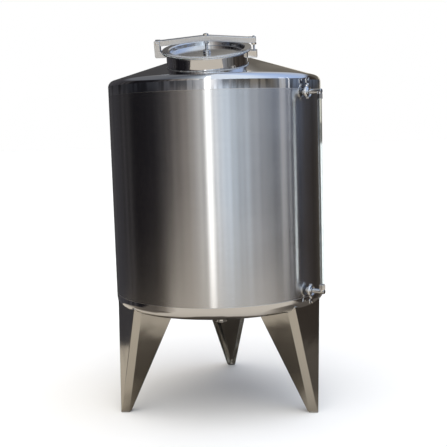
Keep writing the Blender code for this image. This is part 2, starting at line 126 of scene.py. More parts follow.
LUG_HALF = 0.022
LUG_PROUD = 0.016
LUG_LOW_W = -0.048
LUG_HIGH_W = -0.012
LUG_SLOT_HALF = 0.009

# Level gauge and outlet
GAUGE_HEADING = 57.0
GAUGE_TOP = 1.748
GAUGE_BASE = 0.690
GAUGE_STANDOFF = 0.094
NOZZLE_RADIUS = 0.0127
NOZZLE_WALL = 0.0015
NOZZLE_LENGTH = 0.022
NOZZLE_INSET = 0.007
FERRULE_RADIUS = 0.02525
FERRULE_THICKNESS = 0.003
CLAMP_RADIUS = 0.031
CLAMP_WIDTH = 0.015
CLAMP_SLOPE = (0.003, 0.004)
CLAMP_LUG_ACROSS = (0.003, 0.010)
CLAMP_LUG_UP = (-0.003, 0.006)
CLAMP_LUG_INSET = 0.002
PIVOT_RADIUS = 0.004
PIVOT_OUT = 0.001
WING_NUT_THICKNESS = 0.007
WING_BOSS_RADII = (0.0075, 0.006)
WING_BOSS_HEIGHT = 0.013
STUD_RADIUS = 0.0032
STUD_DEPTH = 0.004
STUD_RISE = 0.034
STUD_PITCH = 0.00125
GLASS_RADIUS = 0.011
GLASS_WALL = 0.002
GAUGE_NUT_RADIUS = 0.018
GAUGE_NUT_HEIGHT = 0.026
GAUGE_NUT_SHELF = 0.006
GLAND_COLLAR = 0.001
OUTLET_RADIUS = 0.0255
OUTLET_WALL = 0.0015
OUTLET_LENGTH = 0.070
OUTLET_INSET = 0.006
OUTLET_FERRULE_RADIUS = 0.032
OUTLET_LIP = 0.006

# Rounded edges and corners, by what they are on
SHEET_EDGE = 0.0008
SOFT_EDGE = 0.0012
RIM_EDGE = 0.0018
FORGED_EDGE = 0.003
LID_EDGE = 0.0035
LEG_EDGE = 0.0007
PAD_EDGE = 0.002
PAD_ROUND = 0.004
YOKE_EDGE = 0.0022
YOKE_ROUND = 0.006
EAR_ROUND = 0.005
LUG_EDGE = 0.0015
LUG_ROUND = 0.0035
CLAMP_LUG_ROUND = 0.002
FINE_EDGE = 0.001
WING_EDGE = 0.0016
WING_ROUND = 0.004
WING_BOSS_EDGE = 0.0015
GLASS_EDGE = 0.0006

# Weld beads: their radius, and how far their middle stands out of a face or sinks into it
SEAM_BEAD = 0.0020
SEAM_SINK = 0.0017
UPRIGHT_SINK = 0.0014
OUTLET_BEAD = 0.0022
OUTLET_BEAD_OUT = 0.0005
LEG_BEAD = 0.0034
LEG_RIPPLE = 0.05
NECK_BEAD = 0.0032
NECK_BEAD_OUT = 0.0006
RIM_BEAD = 0.0016
RIM_BEAD_DROP = 0.0005
SMALL_BEAD = 0.0018
SMALL_BEAD_OUT = 0.0004
NOZZLE_BEAD_LIFT = 0.0002
BEAD_STEP = 0.0012
RIPPLE_PITCH = 0.0035

THREAD_DEPTH = 0.55
THREAD_ROWS = 6
THREAD_CHAMFER = 0.0015
THREAD_BITE = 0.0006
COUNTERSINK = 0.0008
NUT_FACE = 0.97
NUT_CHAMFER = math.radians(30.0)

GAP = 0.0003
ROUND_STEPS = 4
WIDE = 240
FINE = 96
SMALL = 48
SHARP_ANGLE = math.radians(38.0)
UP = Vector((0.0, 0.0, 1.0))


def axes_matrix(origin, x_axis, y_axis, z_axis):
    """The frame at origin whose axes are these three directions."""
    return Matrix.Translation(origin) @ Matrix((x_axis, y_axis, z_axis)).transposed().to_4x4()


def heading_vector(degrees):
    """The level direction at this angle from the front (-Y), turning towards +X."""
    angle = math.radians(degrees)
    return Vector((math.sin(angle), -math.cos(angle), 0.0))


def facing_out(heading, distance, height):
    """The frame at this place round the tank's axis, with Z pointing outwards and Y up."""
    out = heading_vector(heading)
    return axes_matrix(out * distance + UP * height, UP.cross(out), UP, out)


def cone_apex():
    radius = SHELL_RADIUS - ROOF_KNUCKLE + ROOF_KNUCKLE * math.sin(ROOF_SLOPE)
    return ROOF_FLANGE_TOP + ROOF_KNUCKLE * math.cos(ROOF_SLOPE) + radius * math.tan(ROOF_SLOPE)


def manway_matrix():
    down = heading_vector(0.0)
    out = down * math.sin(ROOF_SLOPE) + UP * math.cos(ROOF_SLOPE)
    across = Vector((-down.y, down.x, 0.0))
    base = down * MANWAY_REACH + UP * (cone_apex() - MANWAY_REACH * math.tan(ROOF_SLOPE))
    return axes_matrix(base + out * NECK_RISE, across, out.cross(across), out)


TANK = Matrix.Translation((0.0, AXIS_Y, 0.0))
MANWAY_IN_TANK = manway_matrix()
MANWAY = TANK @ MANWAY_IN_TANK


# Material helpers
class Graph:
    """Adds shader nodes to a material's or world's tree and links them by socket name or number."""

    def __init__(self, tree):
        self.tree = tree

    def add(self, kind, settings=None, numbered=None, **inputs):
        """A new node's outputs; numbered holds the inputs whose names aren't unique."""
        node = self.tree.nodes.new("ShaderNode" + kind)
        for key, value in (settings or {}).items():
            setattr(node, key, value)
        for key, value in inputs.items():
            self.feed(node, key.replace("_", " "), value)
        for key, value in (numbered or {}).items():
            self.feed(node, key, value)
        return node.outputs

    def feed(self, node, key, value):
        socket = node.inputs[key]
        if isinstance(value, bpy.types.NodeSocket):
            self.tree.links.new(value, socket)
        else:
            socket.default_value = value

    def math(self, operation, first, second=0.0):
        return self.add("Math", {"operation": operation}, {0: first, 1: second})[0]

    def times(self, first, second):
        return self.math("MULTIPLY", first, second)

    def mix(self, factor, first, second, blend="MIX"):
        settings = {"data_type": "RGBA", "blend_type": blend}
        return self.add("Mix", settings, {6: first, 7: second}, Factor=factor)[2]

    def place(self):
        return self.add("TexCoord")["Object"]

    def noise(self, place, scale, detail, roughness=0.5):
        return self.add("TexNoise", Vector=place, Scale=scale, Detail=detail, Roughness=roughness)["Fac"]

    def bump(self, height, strength, distance, **inputs):
        return self.add("Bump", Height=height, Strength=strength, Distance=distance, **inputs)[0]

    def ramp(self, factor, stops):
        node = self.tree.nodes.new("ShaderNodeValToRGB")
        elements = node.color_ramp.elements
        while len(elements) < len(stops):
            elements.new(0.5)
        for element, (position, colour) in zip(elements, stops):
            element.position = position
            element.color = (*colour, 1.0) if isinstance(colour, tuple) else (colour, colour, colour, 1.0)
        self.feed(node, "Fac", factor)
        return node.outputs["Color"]

    def between(self, factor, low, high):
        return self.add("MapRange", Value=factor, To_Min=low, To_Max=high)["Result"]

    def rise(self, value, start, end, kind="LINEAR"):
        """0 where value is start and 1 where it is end."""
        settings = {"interpolation_type": kind}
        return self.add("MapRange", settings, Value=value, From_Min=start, From_Max=end)["Result"]


def new_material(name):
    material = bpy.data.materials.new(name)
    material.use_nodes = True
    return Graph(material.node_tree), material.node_tree.nodes["Principled BSDF"], material


def grain_vector(graph, style, along, across):
    """Coordinates stretched along the finish's strokes: round the axis, up the piece or across it."""
    place = graph.place()
    if style != "around":
        stretch = (along, across, across) if style == "across" else (across, across, along)
        return graph.add("VectorMath", {"operation": "MULTIPLY"}, {0: place, 1: stretch})[0]
    x, y, z = graph.add("SeparateXYZ", Vector=place)
    turn = graph.math("ARCTAN2", x, graph.times(y, -1.0))
    radius = graph.math("SQRT", graph.math("ADD", graph.times(x, x), graph.times(y, y)))
    return graph.add("CombineXYZ", X=graph.times(turn, along * SHELL_RADIUS), Y=graph.times(radius, across),
                     Z=graph.times(z, across))[0]


def steel(name, colour, roughness, style="around", along=6.0, across=900.0, scratch=0.00002, wave=0.0003,
          wave_scale=3.5, smudge=0.05, tint=0.04, anisotropic=0.0):
    """Stainless steel: strokes of the finish, a slight waviness of the sheet, and handling smudges."""
    graph, shader, material = new_material(name)
    place = graph.place()
    strokes = graph.noise(grain_vector(graph, style, along, across), scale=1.0, detail=3.0, roughness=0.6)
    swirls = graph.noise(place, scale=4.0, detail=2.0, roughness=0.45)
    swell = graph.noise(place, scale=wave_scale, detail=1.0)
    darker = tuple(c * (1.0 - tint) for c in colour)
    brighter = tuple(min(1.0, c * (1.0 + tint)) for c in colour)
    mixed = graph.math("ADD", graph.times(strokes, 0.7), graph.times(swirls, 0.3))
    graph.feed(shader, "Base Color", graph.ramp(mixed, [(0.35, darker), (0.65, brighter)]))
    uneven = graph.math("ADD", graph.between(swirls, roughness - smudge, roughness + smudge),
                        graph.between(strokes, -0.3 * smudge, 0.3 * smudge))
    graph.feed(shader, "Roughness", uneven)
    rolled = graph.bump(swell, strength=1.0, distance=wave)
    graph.feed(shader, "Normal", graph.bump(strokes, strength=1.0, distance=scratch, Normal=rolled))
    graph.feed(shader, "Metallic", 1.0)
    if anisotropic > 0.0:
        graph.feed(shader, "Anisotropic", anisotropic)
        graph.feed(shader, "Anisotropic Rotation", 0.25)
        graph.feed(shader, "Tangent", graph.add("Tangent", {"direction_type": "RADIAL", "axis": "Z"})[0])
    return material


def silicone(name):
    graph, shader, material = new_material(name)
    dust = graph.noise(graph.place(), scale=60.0, detail=5.0)
    graph.feed(shader, "Base Color", graph.ramp(dust, [(0.3, (0.72, 0.72, 0.70)), (0.7, (0.84, 0.84, 0.82))]))
    graph.feed(shader, "Roughness", graph.between(dust, 0.45, 0.65))
    graph.feed(shader, "Normal", graph.bump(dust, strength=0.4, distance=0.0002))
    graph.feed(shader, "Subsurface Weight", 0.1)
    return material


def clear_glass(name):
    graph, shader, material = new_material(name)
    film = graph.noise(graph.place(), scale=30.0, detail=3.0)
    graph.feed(shader, "Base Color", graph.ramp(film, [(0.3, (0.90, 0.95, 0.95)), (0.7, (0.97, 0.99, 0.99))]))
    graph.feed(shader, "Roughness", graph.between(film, 0.01, 0.06))
    graph.feed(shader, "Transmission Weight", 1.0)
    graph.feed(shader, "IOR", 1.47)
    return material


FINISHES = {
    "brushed": steel("brushed_steel", (0.60, 0.595, 0.59), 0.23, across=400.0, scratch=0.000008, smudge=0.03,
                     anisotropic=0.9),
    "lid": steel("lid_steel", (0.74, 0.735, 0.73), 0.13, across=500.0, scratch=0.000006, wave=0.0004,
                 smudge=0.04),
    "polished": steel("polished_steel", (0.72, 0.72, 0.73), 0.055, scratch=0.000004, wave=0.0005,
                      wave_scale=5.0, smudge=0.03, tint=0.02),
    "leg": steel("leg_steel", (0.56, 0.54, 0.50), 0.16, "up", 8.0, 500.0, scratch=0.00001, wave=0.0030,
                 wave_scale=8.0, smudge=0.05),
    "satin": steel("satin_steel", (0.70, 0.73, 0.78), 0.24, "across", 12.0, 700.0, scratch=0.00001),
    "fitting": steel("fitting_steel", (0.74, 0.74, 0.74), 0.11, "around", 20.0, 900.0, scratch=0.000005,
                     wave=0.00005, wave_scale=40.0),
    "weld": steel("weld_steel", (0.60, 0.585, 0.56), 0.30, "up", 60.0, 400.0, scratch=0.00003, tint=0.12),
    "gasket": silicone("white_silicone"),
    "glass": clear_glass("gauge_glass"),
}
# The slot name for each finish; beads that join sheets name their own
SLOTS = {"brushed": "brushed_shell", "lid": "polished_steel", "polished": "polished_steel", "leg": "leg_steel",
         "satin": "fitting_steel", "fitting": "fitting_steel", "weld": "fitting_steel",
         "gasket": "white_gasket", "glass": "clear_glass"}


# Mesh helpers
def new_object(name, data):
    obj = bpy.data.objects.new(name, data)
    bpy.context.scene.collection.objects.link(obj)
    return obj


def new_mesh(name, bm):
    mesh = bpy.data.meshes.new(name)
    bm.to_mesh(mesh)
    bm.free()
    return mesh


def add_piece(name, bm, finish, node="", matrix=TANK, body="root", slot="", bevel=0.0):
    """A bmesh in the axes of matrix becomes a piece that rides on a body and may stand for a CAD node."""
    bmesh.ops.recalc_face_normals(bm, faces=bm.faces)
    mesh = new_mesh(name, bm)
    mesh.shade_smooth()
    mesh.set_sharp_from_angle(angle=SHARP_ANGLE)
    mesh.materials.append(FINISHES[finish])
    obj = new_object(name, mesh)
    obj.matrix_world = matrix
    if bevel > 0.0:
        edges = obj.modifiers.new("edges", "BEVEL")
        edges.limit_method = "ANGLE"
        edges.angle_limit = SHARP_ANGLE
        edges.width = bevel
        edges.segments = 3
        edges.harden_normals = False
    normals = obj.modifiers.new("normals", "WEIGHTED_NORMAL")
    normals.keep_sharp = bevel == 0.0
    slot = slot or SLOTS[finish]
    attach(obj, body)
    if node:
        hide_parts(node)


def merge(target, source, matrix=Matrix.Identity(4)):
    """Adds a second bmesh to the first, moved by matrix."""
    source.transform(matrix)
    copy = new_mesh("copy", source)
    target.from_mesh(copy)
    bpy.data.meshes.remove(copy)


def turns(count):
    """The angles that part a full turn into this many steps."""
    return [2.0 * math.pi * k / count for k in range(count)]


def evenly(low, high, count):
    """Values from low to high in this many equal steps."""
    return [low + (high - low) * k / count for k in range(count + 1)]


def circle_path(radius, height, count):
    return [Vector((radius * math.cos(a), radius * math.sin(a), height)) for a in turns(count)]


def halved(low, high, steps, beyond):
    """Where beyond turns true between low and high, found by halving the span."""
    for _ in range(steps):
        middle = (low + high) / 2.0
        if beyond(middle):
            high = middle
        else:
            low = middle
    return (low + high) / 2.0


def rounded_corner(before, here, after, radius, steps):
    """Points of the arc that replaces one corner, from the side of before to the side of after."""
    here = Vector(here)
    back = Vector(before) - here
    on = Vector(after) - here
    half = back.angle(on) / 2.0
    if radius <= 0.0 or math.pi / 2.0 - half < 1e-4:
        return [tuple(here)]
    reach = min(radius / math.tan(half), 0.45 * back.length, 0.45 * on.length)
    radius = reach * math.tan(half)
    centre = here + (back.normalized() + on.normalized()).normalized() * (radius / math.sin(half))
    start = here + back.normalized() * reach - centre
    end = here + on.normalized() * reach - centre
    sweep = math.pi - 2.0 * half
    points = []
    for k in range(steps + 1):
        share = k / steps
        way = (start * math.sin((1.0 - share) * sweep) + end * math.sin(share * sweep)) / math.sin(sweep)
        points.append(tuple(centre + way))
    return points


def rounded(outline, radius, steps=ROUND_STEPS):
    """A closed outline with rounded corners, apart from corners on a turned piece's axis."""
    points = []
    for k, corner in enumerate(outline):
        size = 0.0 if corner[0] == 0.0 else radius
        points += rounded_corner(outline[k - 1], corner, outline[(k + 1) % len(outline)], size, steps)
    return points


def rounded_line(line, radius, steps=ROUND_STEPS):
    """An open line with rounded bends; its two ends stay."""
    points = [line[0]]
    for before, here, after in zip(line, line[1:], line[2:]):
        points += rounded_corner(before, here, after, radius, steps)
    return points + [line[-1]]


def bridge(bm, rings):
    """Faces from each ring of points to the next; a ring of one point is a tip."""
    for ring, following in zip(rings, rings[1:]):
        if len(ring) == len(following) == 1:
            continue
        for k in range(max(len(ring), len(following))):
            corners = [ring[k % len(ring)], ring[(k + 1) % len(ring)],
                       following[(k + 1) % len(following)], following[k % len(following)]]
            bm.faces.new(list(dict.fromkeys(corners)))


def turned(profile, segments=FINE):
    """A closed outline of (radius, height) points turned about Z; points on the axis become one."""
    bm = bmesh.new()
    rings = []
    for radius, height in profile:
        points = circle_path(radius, height, segments)
        rings.append([bm.verts.new(point) for point in (points[:1] if radius == 0.0 else points)])
    bridge(bm, rings + rings[:1])
    return bm


def turned_ring(outer, inner, low, high, edge, segments=FINE):
    """A ring with rounded edges turned about Z; where inner is zero it is a solid rod."""
    return turned(rounded([(outer, low), (outer, high), (inner, high), (inner, low)], edge), segments)


def sheet_metal(outer_rows, inner_rows, closed):
    """A bent sheet between two matching grids of points; closed joins the columns' ends."""
    bm = bmesh.new()
    outer = [[bm.verts.new(point) for point in row] for row in outer_rows]
    inner = [[bm.verts.new(point) for point in row] for row in inner_rows]
    columns = len(outer[0])
    pairs = [(c, (c + 1) % columns) for c in range(columns if closed else columns - 1)]
    for grid in (outer, inner):
        for low, high in zip(grid, grid[1:]):
            for a, b in pairs:
                bm.faces.new([low[a], low[b], high[b], high[a]])
    for row, mate in ((outer[0], inner[0]), (outer[-1], inner[-1])):
        for a, b in pairs:
            bm.faces.new([row[a], row[b], mate[b], mate[a]])
    if not closed:
        for c in (0, columns - 1):
            for r in range(len(outer) - 1):
                bm.faces.new([outer[r][c], outer[r + 1][c], inner[r + 1][c], inner[r][c]])
    return bm


def extruded(outline, low, high, plane="XY"):
    """A flat outline pushed from low to high along the axis that its plane leaves out."""
    bm = bmesh.new()
    near, far = [[bm.verts.new((a, b, level) if plane == "XY" else (a, level, b)) for a, b in outline]
                 for level in (low, high)]
    bm.faces.new(near)
    bm.faces.new(far[::-1])
    for corners in zip(near, far, far[1:] + far[:1], near[1:] + near[:1]):
        bm.faces.new(corners)
    return bm


def bead(path, radius, closed=True, ripple=0.12, sides=10):
    """A weld bead with the torch's ripples. Where its path runs straight up it closes to a point or line."""
    bm = bmesh.new()
    rings = []
    travelled = 0.0
    for k, point in enumerate(path):
        before = path[k - 1] if closed or k > 0 else point
        after = path[(k + 1) % len(path)] if closed or k < len(path) - 1 else point
        along = (after - before).normalized()
        side = along.cross(UP).normalized()
        top = side.cross(along)
        travelled += (point - path[k - 1]).length if k > 0 else 0.0
        swell = radius * (1.0 + ripple * math.sin(2.0 * math.pi * travelled / RIPPLE_PITCH))
        rings.append([bm.verts.new(point + (side * math.cos(a) + top * math.sin(a)) * swell)
                      for a in turns(sides)])
    bridge(bm, rings + rings[:1] if closed else rings)
    if not closed:
        bm.faces.new(rings[0])
        bm.faces.new(rings[-1])
    return bm


def spaced(path, step, closed):
    """The same path with points every step along it."""
    points = list(path) + ([path[0]] if closed else [])
    lengths = [0.0]
    for a, b in zip(points, points[1:]):
        lengths.append(lengths[-1] + (b - a).length)
    count = max(2, round(lengths[-1] / step))
    made = []
    k = 0
    for n in range(count if closed else count + 1):
        wanted = lengths[-1] * n / count
        while k < len(lengths) - 2 and lengths[k + 1] < wanted:
            k += 1
        share = (wanted - lengths[k]) / max(lengths[k + 1] - lengths[k], 1e-9)
        made.append(points[k].lerp(points[k + 1], min(max(share, 0.0), 1.0)))
    return made


def threaded_rod(radius, low, high, pitch, segments=24):
    """A screw thread cut on a rod, with chamfered ends."""
    bm = bmesh.new()
    rings = []
    for height in evenly(low, high, round((high - low) / pitch * THREAD_ROWS)):
        limit = radius - max(0.0, THREAD_CHAMFER - min(height - low, high - height))
        ring = []
        for turn in [k / segments for k in range(segments)]:
            wave = 0.5 - 0.5 * math.cos(2.0 * math.pi * (height / pitch - turn))
            size = min(radius - THREAD_DEPTH * pitch * wave, limit)
            angle = 2.0 * math.pi * turn
            ring.append(bm.verts.new((size * math.cos(angle), size * math.sin(angle), height)))
        rings.append(ring)
    bridge(bm, rings)
    bm.faces.new(rings[0])
    bm.faces.new(rings[-1])
    return bm


def hexagon_nut(radius, low, high, bore, segments=72):
    """A hexagon nut with chamfered corners on both faces and a countersunk bore."""
    flat = radius * math.cos(math.pi / 6.0)
    face = flat * NUT_FACE
    wide = bore + COUNTERSINK
    columns = []
    for angle in turns(segments):
        corner = (angle + math.pi / 6.0) % (math.pi / 3.0) - math.pi / 6.0
        size = flat / math.cos(math.pi / 6.0 - abs(corner))
        drop = (size - face) * math.tan(NUT_CHAMFER)
        columns.append([(bore, low + COUNTERSINK), (wide, low), (face, low), (size, low + drop),
                        (size, high - drop), (face, high), (wide, high), (bore, high - COUNTERSINK)])
    bm = bmesh.new()
    rings = []
    for level in zip(*columns):
        rings.append([bm.verts.new((size * math.cos(angle), size * math.sin(angle), height))
                      for angle, (size, height) in zip(turns(segments), level)])
    bridge(bm, rings + rings[:1])
    return bm


# Vessel pieces
def vessel_rows(profile):
    """Rings of points round the vessel's axis, one for each (radius, height) of the profile."""
    return [circle_path(radius, height, VESSEL_COLUMNS) for radius, height in profile]


def knuckle_profile(inset, rim_height, centre_height, knuckle, upwards, slope):
    """From a sheet end's rim round its knuckle to its cone; upwards is 1 for the roof, -1 for the bottom."""
    points = [(SHELL_RADIUS - inset, rim_height)]
    reach = knuckle - inset
    for k in range(KNUCKLE_STEPS + 1):
        angle = (math.pi / 2.0 - slope) * k / KNUCKLE_STEPS
        points.append((SHELL_RADIUS - knuckle + reach * math.cos(angle),
                       centre_height + upwards * reach * math.sin(angle)))
    return points


def cone_height(radius, inset):
    """Height of the roof's cone, whose tip is slightly rounded."""
    return cone_apex() - math.tan(ROOF_SLOPE) * math.hypot(radius, APEX_ROUND) - inset / math.cos(ROOF_SLOPE)


def base_height(radius):
    """Height of the bottom's outer face at this distance from the axis."""
    tangent = SHELL_RADIUS - BASE_KNUCKLE + BASE_KNUCKLE * math.sin(BASE_SLOPE)
    if radius > tangent:
        across = min(radius - SHELL_RADIUS + BASE_KNUCKLE, BASE_KNUCKLE)
        return BASE_FLANGE_BOTTOM - math.sqrt(BASE_KNUCKLE ** 2 - across ** 2)
    return BASE_FLANGE_BOTTOM - BASE_KNUCKLE * math.cos(BASE_SLOPE) - (tangent - radius) * math.tan(BASE_SLOPE)


def neck_edge(turn, inset, radius=NECK_RADIUS):
    """Where the manway's neck meets the cone, at this angle about the manway's axis."""
    def place(out):
        return MANWAY_IN_TANK @ Vector((radius * math.cos(turn), radius * math.sin(turn), out))

    def above_cone(out):
        point = place(out)
        return point.z > cone_height(math.hypot(point.x, point.y), inset)

    return place(halved(-0.4, 0.1, 40, above_cone))


def shell_rows(inset):
    return vessel_rows([(SHELL_RADIUS - inset, z) for z in evenly(SHELL_BOTTOM, SHELL_TOP, SHELL_ROWS)])


def roof_rows(inset):
    """Flange, knuckle and cone, whose rows close in on the manway's hole instead of the apex."""
    rows = vessel_rows(knuckle_profile(inset, SHELL_TOP, ROOF_FLANGE_TOP, ROOF_KNUCKLE, 1.0, ROOF_SLOPE))
    last = rows[-1]
    edge = []
    for point in last:
        turn = math.atan2((point.y + MANWAY_REACH) / math.cos(ROOF_SLOPE), point.x)
        edge.append(neck_edge(turn, inset))
    for k in range(1, CONE_ROWS + 1):
        share = k / CONE_ROWS
        row = []
        for start, end in zip(last, edge):
            x, y = start.x + (end.x - start.x) * share, start.y + (end.y - start.y) * share
            row.append(Vector((x, y, cone_height(math.hypot(x, y), inset))))
        rows.append(row)
    return rows


def base_rows(inset):
    """Flange, knuckle and shallow cone down to the outlet's hole."""
    points = knuckle_profile(inset, SHELL_BOTTOM, BASE_FLANGE_BOTTOM, BASE_KNUCKLE, -1.0, BASE_SLOPE)
    radius, height = points[-1]
    for nearer in evenly(radius, OUTLET_RADIUS, BASE_ROWS)[1:]:
        points.append((nearer, height - (radius - nearer) * math.tan(BASE_SLOPE)))
    return vessel_rows(points)


def make_vessel():
    for name, rows, finish, node in (("shell_sheet", shell_rows, "brushed", "shell_wall"),
                                     ("roof_sheet", roof_rows, "polished", "cone_roof"),
                                     ("bottom_sheet", base_rows, "polished", "bottom_head")):
        add_piece(name, sheet_metal(rows(0.0), rows(SHEET), True), finish, node)
    for name, height in (("upper", SHELL_TOP), ("lower", SHELL_BOTTOM)):
        path = circle_path(SHELL_RADIUS - SEAM_SINK, height, VESSEL_COLUMNS)
        add_piece("seam_" + name, bead(path, SEAM_BEAD, ripple=0.0, sides=8), "weld", slot="polished_steel")
    # This path runs straight up, so the bead closes to a line and shows nowhere
    heights = evenly(SHELL_BOTTOM, SHELL_TOP, UPRIGHT_ROWS)
    path = [Vector((0.0, SHELL_RADIUS - UPRIGHT_SINK, height)) for height in heights]
    add_piece("seam_upright", bead(path, SEAM_BEAD, False, 0.0, 8), "weld", slot="brushed_shell")


def make_outlet():
    top = base_height(OUTLET_RADIUS) + OUTLET_INSET
    low = base_height(0.0) + OUTLET_INSET - OUTLET_LENGTH
    bore = OUTLET_RADIUS - OUTLET_WALL
    profile = [(OUTLET_RADIUS, top), (OUTLET_RADIUS, low + OUTLET_LIP),
               (OUTLET_FERRULE_RADIUS, low + OUTLET_LIP / 2.0), (OUTLET_FERRULE_RADIUS, low),
               (bore, low), (bore, top)]
    add_piece("outlet_ferrule", turned(rounded(profile, SHEET_EDGE)), "fitting", "bottom_outlet")
    path = circle_path(OUTLET_RADIUS + OUTLET_BEAD_OUT, base_height(OUTLET_RADIUS), 240)
    add_piece("outlet_weld", bead(path, OUTLET_BEAD), "weld")


# Legs
def inset_line(points, distance):
    """An open line moved sideways by a sheet's thickness, with mitred corners."""
    directions = [(Vector(b) - Vector(a)).normalized() for a, b in zip(points, points[1:])]
    sides = [Vector((-d.y, d.x)) for d in directions]
    moved = []
    for k, point in enumerate(points):
        before = sides[max(k - 1, 0)]
        after = sides[min(k, len(sides) - 1)]
        mitre = (before + after).normalized()
        moved.append(tuple(Vector(point) + mitre * (distance / mitre.dot(after))))
    return moved


def leg_lines(height):
    """The outer and inner lines at this height of a leg that faces the front, in the tank's axes."""
    grown = height + LEG_WING_START
    face = LEG_FACE_HALF + LEG_FACE_SPREAD * height
    bevel = (face + LEG_BEVEL_ACROSS, LEG_BEVEL_INWARD)
    wing = (bevel[0] + LEG_WING_SPREAD * grown, bevel[1] + LEG_WING_DEPTH * grown)
    half = [(face, 0.0), bevel, wing]
    line = [(-a, b) for a, b in reversed(half)] + half
    radius = LEG_FOOT_RADIUS - LEG_LEAN * height
    placed = []
    for points, bend in ((line, LEG_BEND), (inset_line(line, LEG_SHEET), LEG_BEND - LEG_SHEET)):
        placed.append([Vector((a, b - radius, height)) for a, b in rounded_line(points, bend)])
    return placed


def leg_top(side, column):
    """Height at which this column of the leg reaches the vessel's bottom."""
    def past_bottom(height):
        point = leg_lines(height)[side][column]
        return height > base_height(math.hypot(point.x, point.y))

    return halved(0.4, SHELL_BOTTOM, 30, past_bottom)


def make_leg_sheet():
    """The folded sheet, and the line along which it is welded to the vessel."""
    foot = PAD_THICKNESS + GAP
    columns = len(leg_lines(foot)[0])
    grids = []
    for side in (0, 1):
        tops = [leg_top(side, c) for c in range(columns)]
        rows = []
        for k in range(LEG_ROWS + 1):
            share = k / LEG_ROWS
            rows.append([leg_lines(foot + (tops[c] - foot) * share)[side][c] for c in range(columns)])
        grids.append(rows)
    return sheet_metal(grids[0], grids[1], False), grids[0][-1]


def pad_outline():
    back = LEG_BEVEL_INWARD + LEG_WING_DEPTH * LEG_WING_START
    half = LEG_FACE_HALF + LEG_BEVEL_ACROSS - PAD_INSET
    return [(-LEG_FACE_HALF, PAD_INSET), (LEG_FACE_HALF, PAD_INSET), (half, LEG_BEVEL_INWARD),
            (half, back - PAD_INSET), (-half, back - PAD_INSET), (-half, LEG_BEVEL_INWARD)]


def make_legs():
    for side, heading in LEG_HEADINGS.items():
        sheet, weld_line = make_leg_sheet()
        weld = bead(spaced(weld_line, BEAD_STEP, False), LEG_BEAD, False, LEG_RIPPLE)
        outline = [(a, b - LEG_FOOT_RADIUS) for a, b in rounded(pad_outline(), PAD_ROUND)]
        foot = extruded(outline, 0.0, PAD_THICKNESS)
        for bm in (sheet, weld, foot):
            bm.transform(Matrix.Rotation(math.radians(heading), 4, "Z"))
        add_piece("leg_sheet_" + side, sheet, "leg", "leg_" + side, bevel=LEG_EDGE)
        add_piece("leg_weld_" + side, weld, "weld", slot="leg_steel")
        add_piece("foot_" + side, foot, "leg", "foot_pad_" + side, bevel=PAD_EDGE)


# Manway
LID_PAN_TOP = 2.0 * GAP + GASKET_THICKNESS + LID_SHEET - LID_PAN_DEPTH + LID_PAN_CROWN
YOKE_LOW = HINGE_W - YOKE_HEIGHT / 2.0
YOKE_HIGH = YOKE_LOW + YOKE_HEIGHT


def make_neck():
    inner = NECK_RADIUS - SHEET
    neck = turned_ring(NECK_RADIUS, inner, -NECK_RISE - NECK_DROP, -RIM_THICKNESS - GAP, SHEET_EDGE, WIDE)
    add_piece("neck_sheet", neck, "polished", "manway_neck", MANWAY)
    rim = turned_ring(RIM_RADIUS, inner, -RIM_THICKNESS, 0.0, RIM_EDGE, WIDE)
    add_piece("rim_ring", rim, "polished", "manway_rim", MANWAY)
    path = [neck_edge(turn, 0.0, NECK_RADIUS + NECK_BEAD_OUT) for turn in turns(360)]
    add_piece("neck_weld", bead(spaced(path, BEAD_STEP, True), NECK_BEAD), "weld", slot="polished_steel")
    under_rim = circle_path(NECK_RADIUS + NECK_BEAD_OUT, -RIM_THICKNESS - RIM_BEAD_DROP, 300)
    path = [TANK.inverted() @ (MANWAY @ point) for point in under_rim]
    add_piece("rim_weld", bead(path, RIM_BEAD, ripple=0.0, sides=8), "weld", slot="polished_steel")


def make_lid():
    gasket_top = GAP + GASKET_THICKNESS
    seal = turned_ring(LID_RADIUS - GASKET_INSET, NECK_RADIUS - SHEET + GASKET_OVERLAP, GAP, gasket_top,
                       SOFT_EDGE, 180)
    add_piece("seal_ring", seal, "gasket", "lid_gasket", MANWAY, "lid")
    seat = gasket_top + GAP
    top = seat + LID_SHEET
    pan = LID_PAN_RADIUS
    low = top - LID_PAN_DEPTH
    upper = [(LID_RADIUS, top), (pan + LID_SHEET, top), (pan - LID_SHEET, top - LID_PAN_DRAFT),
             (pan - LID_SHEET - LID_PAN_DRAFT, low)]
    lower = [(pan - LID_PAN_DRAFT, low - LID_SHEET), (pan, seat), (LID_RADIUS, seat)]
    dish_upper = [(pan * share, LID_PAN_TOP - (LID_PAN_TOP - low) * share ** 2) for share in DISH_SHARES]
    dish_lower = [(radius, height - LID_SHEET) for radius, height in reversed(dish_upper)]
    dish = turned(rounded(upper + dish_upper + dish_lower + lower, LID_EDGE), WIDE)
    add_piece("lid_dish", dish, "lid", "manway_lid", MANWAY, "lid")
    foot = LID_PAN_TOP + GAP
    boss = turned_ring(BOSS_RADIUS, 0.0, foot, foot + BOSS_HEIGHT, FORGED_EDGE)
    add_piece("boss_block", boss, "fitting", "lid_boss", MANWAY, "lid")
    weld = bead(circle_path(BOSS_RADIUS + SMALL_BEAD_OUT, foot, 160), SMALL_BEAD)
    add_piece("boss_weld", weld, "weld", matrix=MANWAY, body="lid")


def yoke_outline():
    underside = [(HINGE_U - YOKE_TAIL, YOKE_LOW), (HINGE_U + YOKE_LEVEL_END, YOKE_LOW),
                 (-YOKE_PEAK_HALF, YOKE_LOW + YOKE_PEAK), (YOKE_PEAK_HALF, YOKE_LOW + YOKE_PEAK),
                 (SCREW_U - YOKE_LEVEL_END, YOKE_LOW), (SCREW_U + YOKE_TAIL, YOKE_LOW)]
    return underside + [(u, w + YOKE_HEIGHT) for u, w in reversed(underside)]


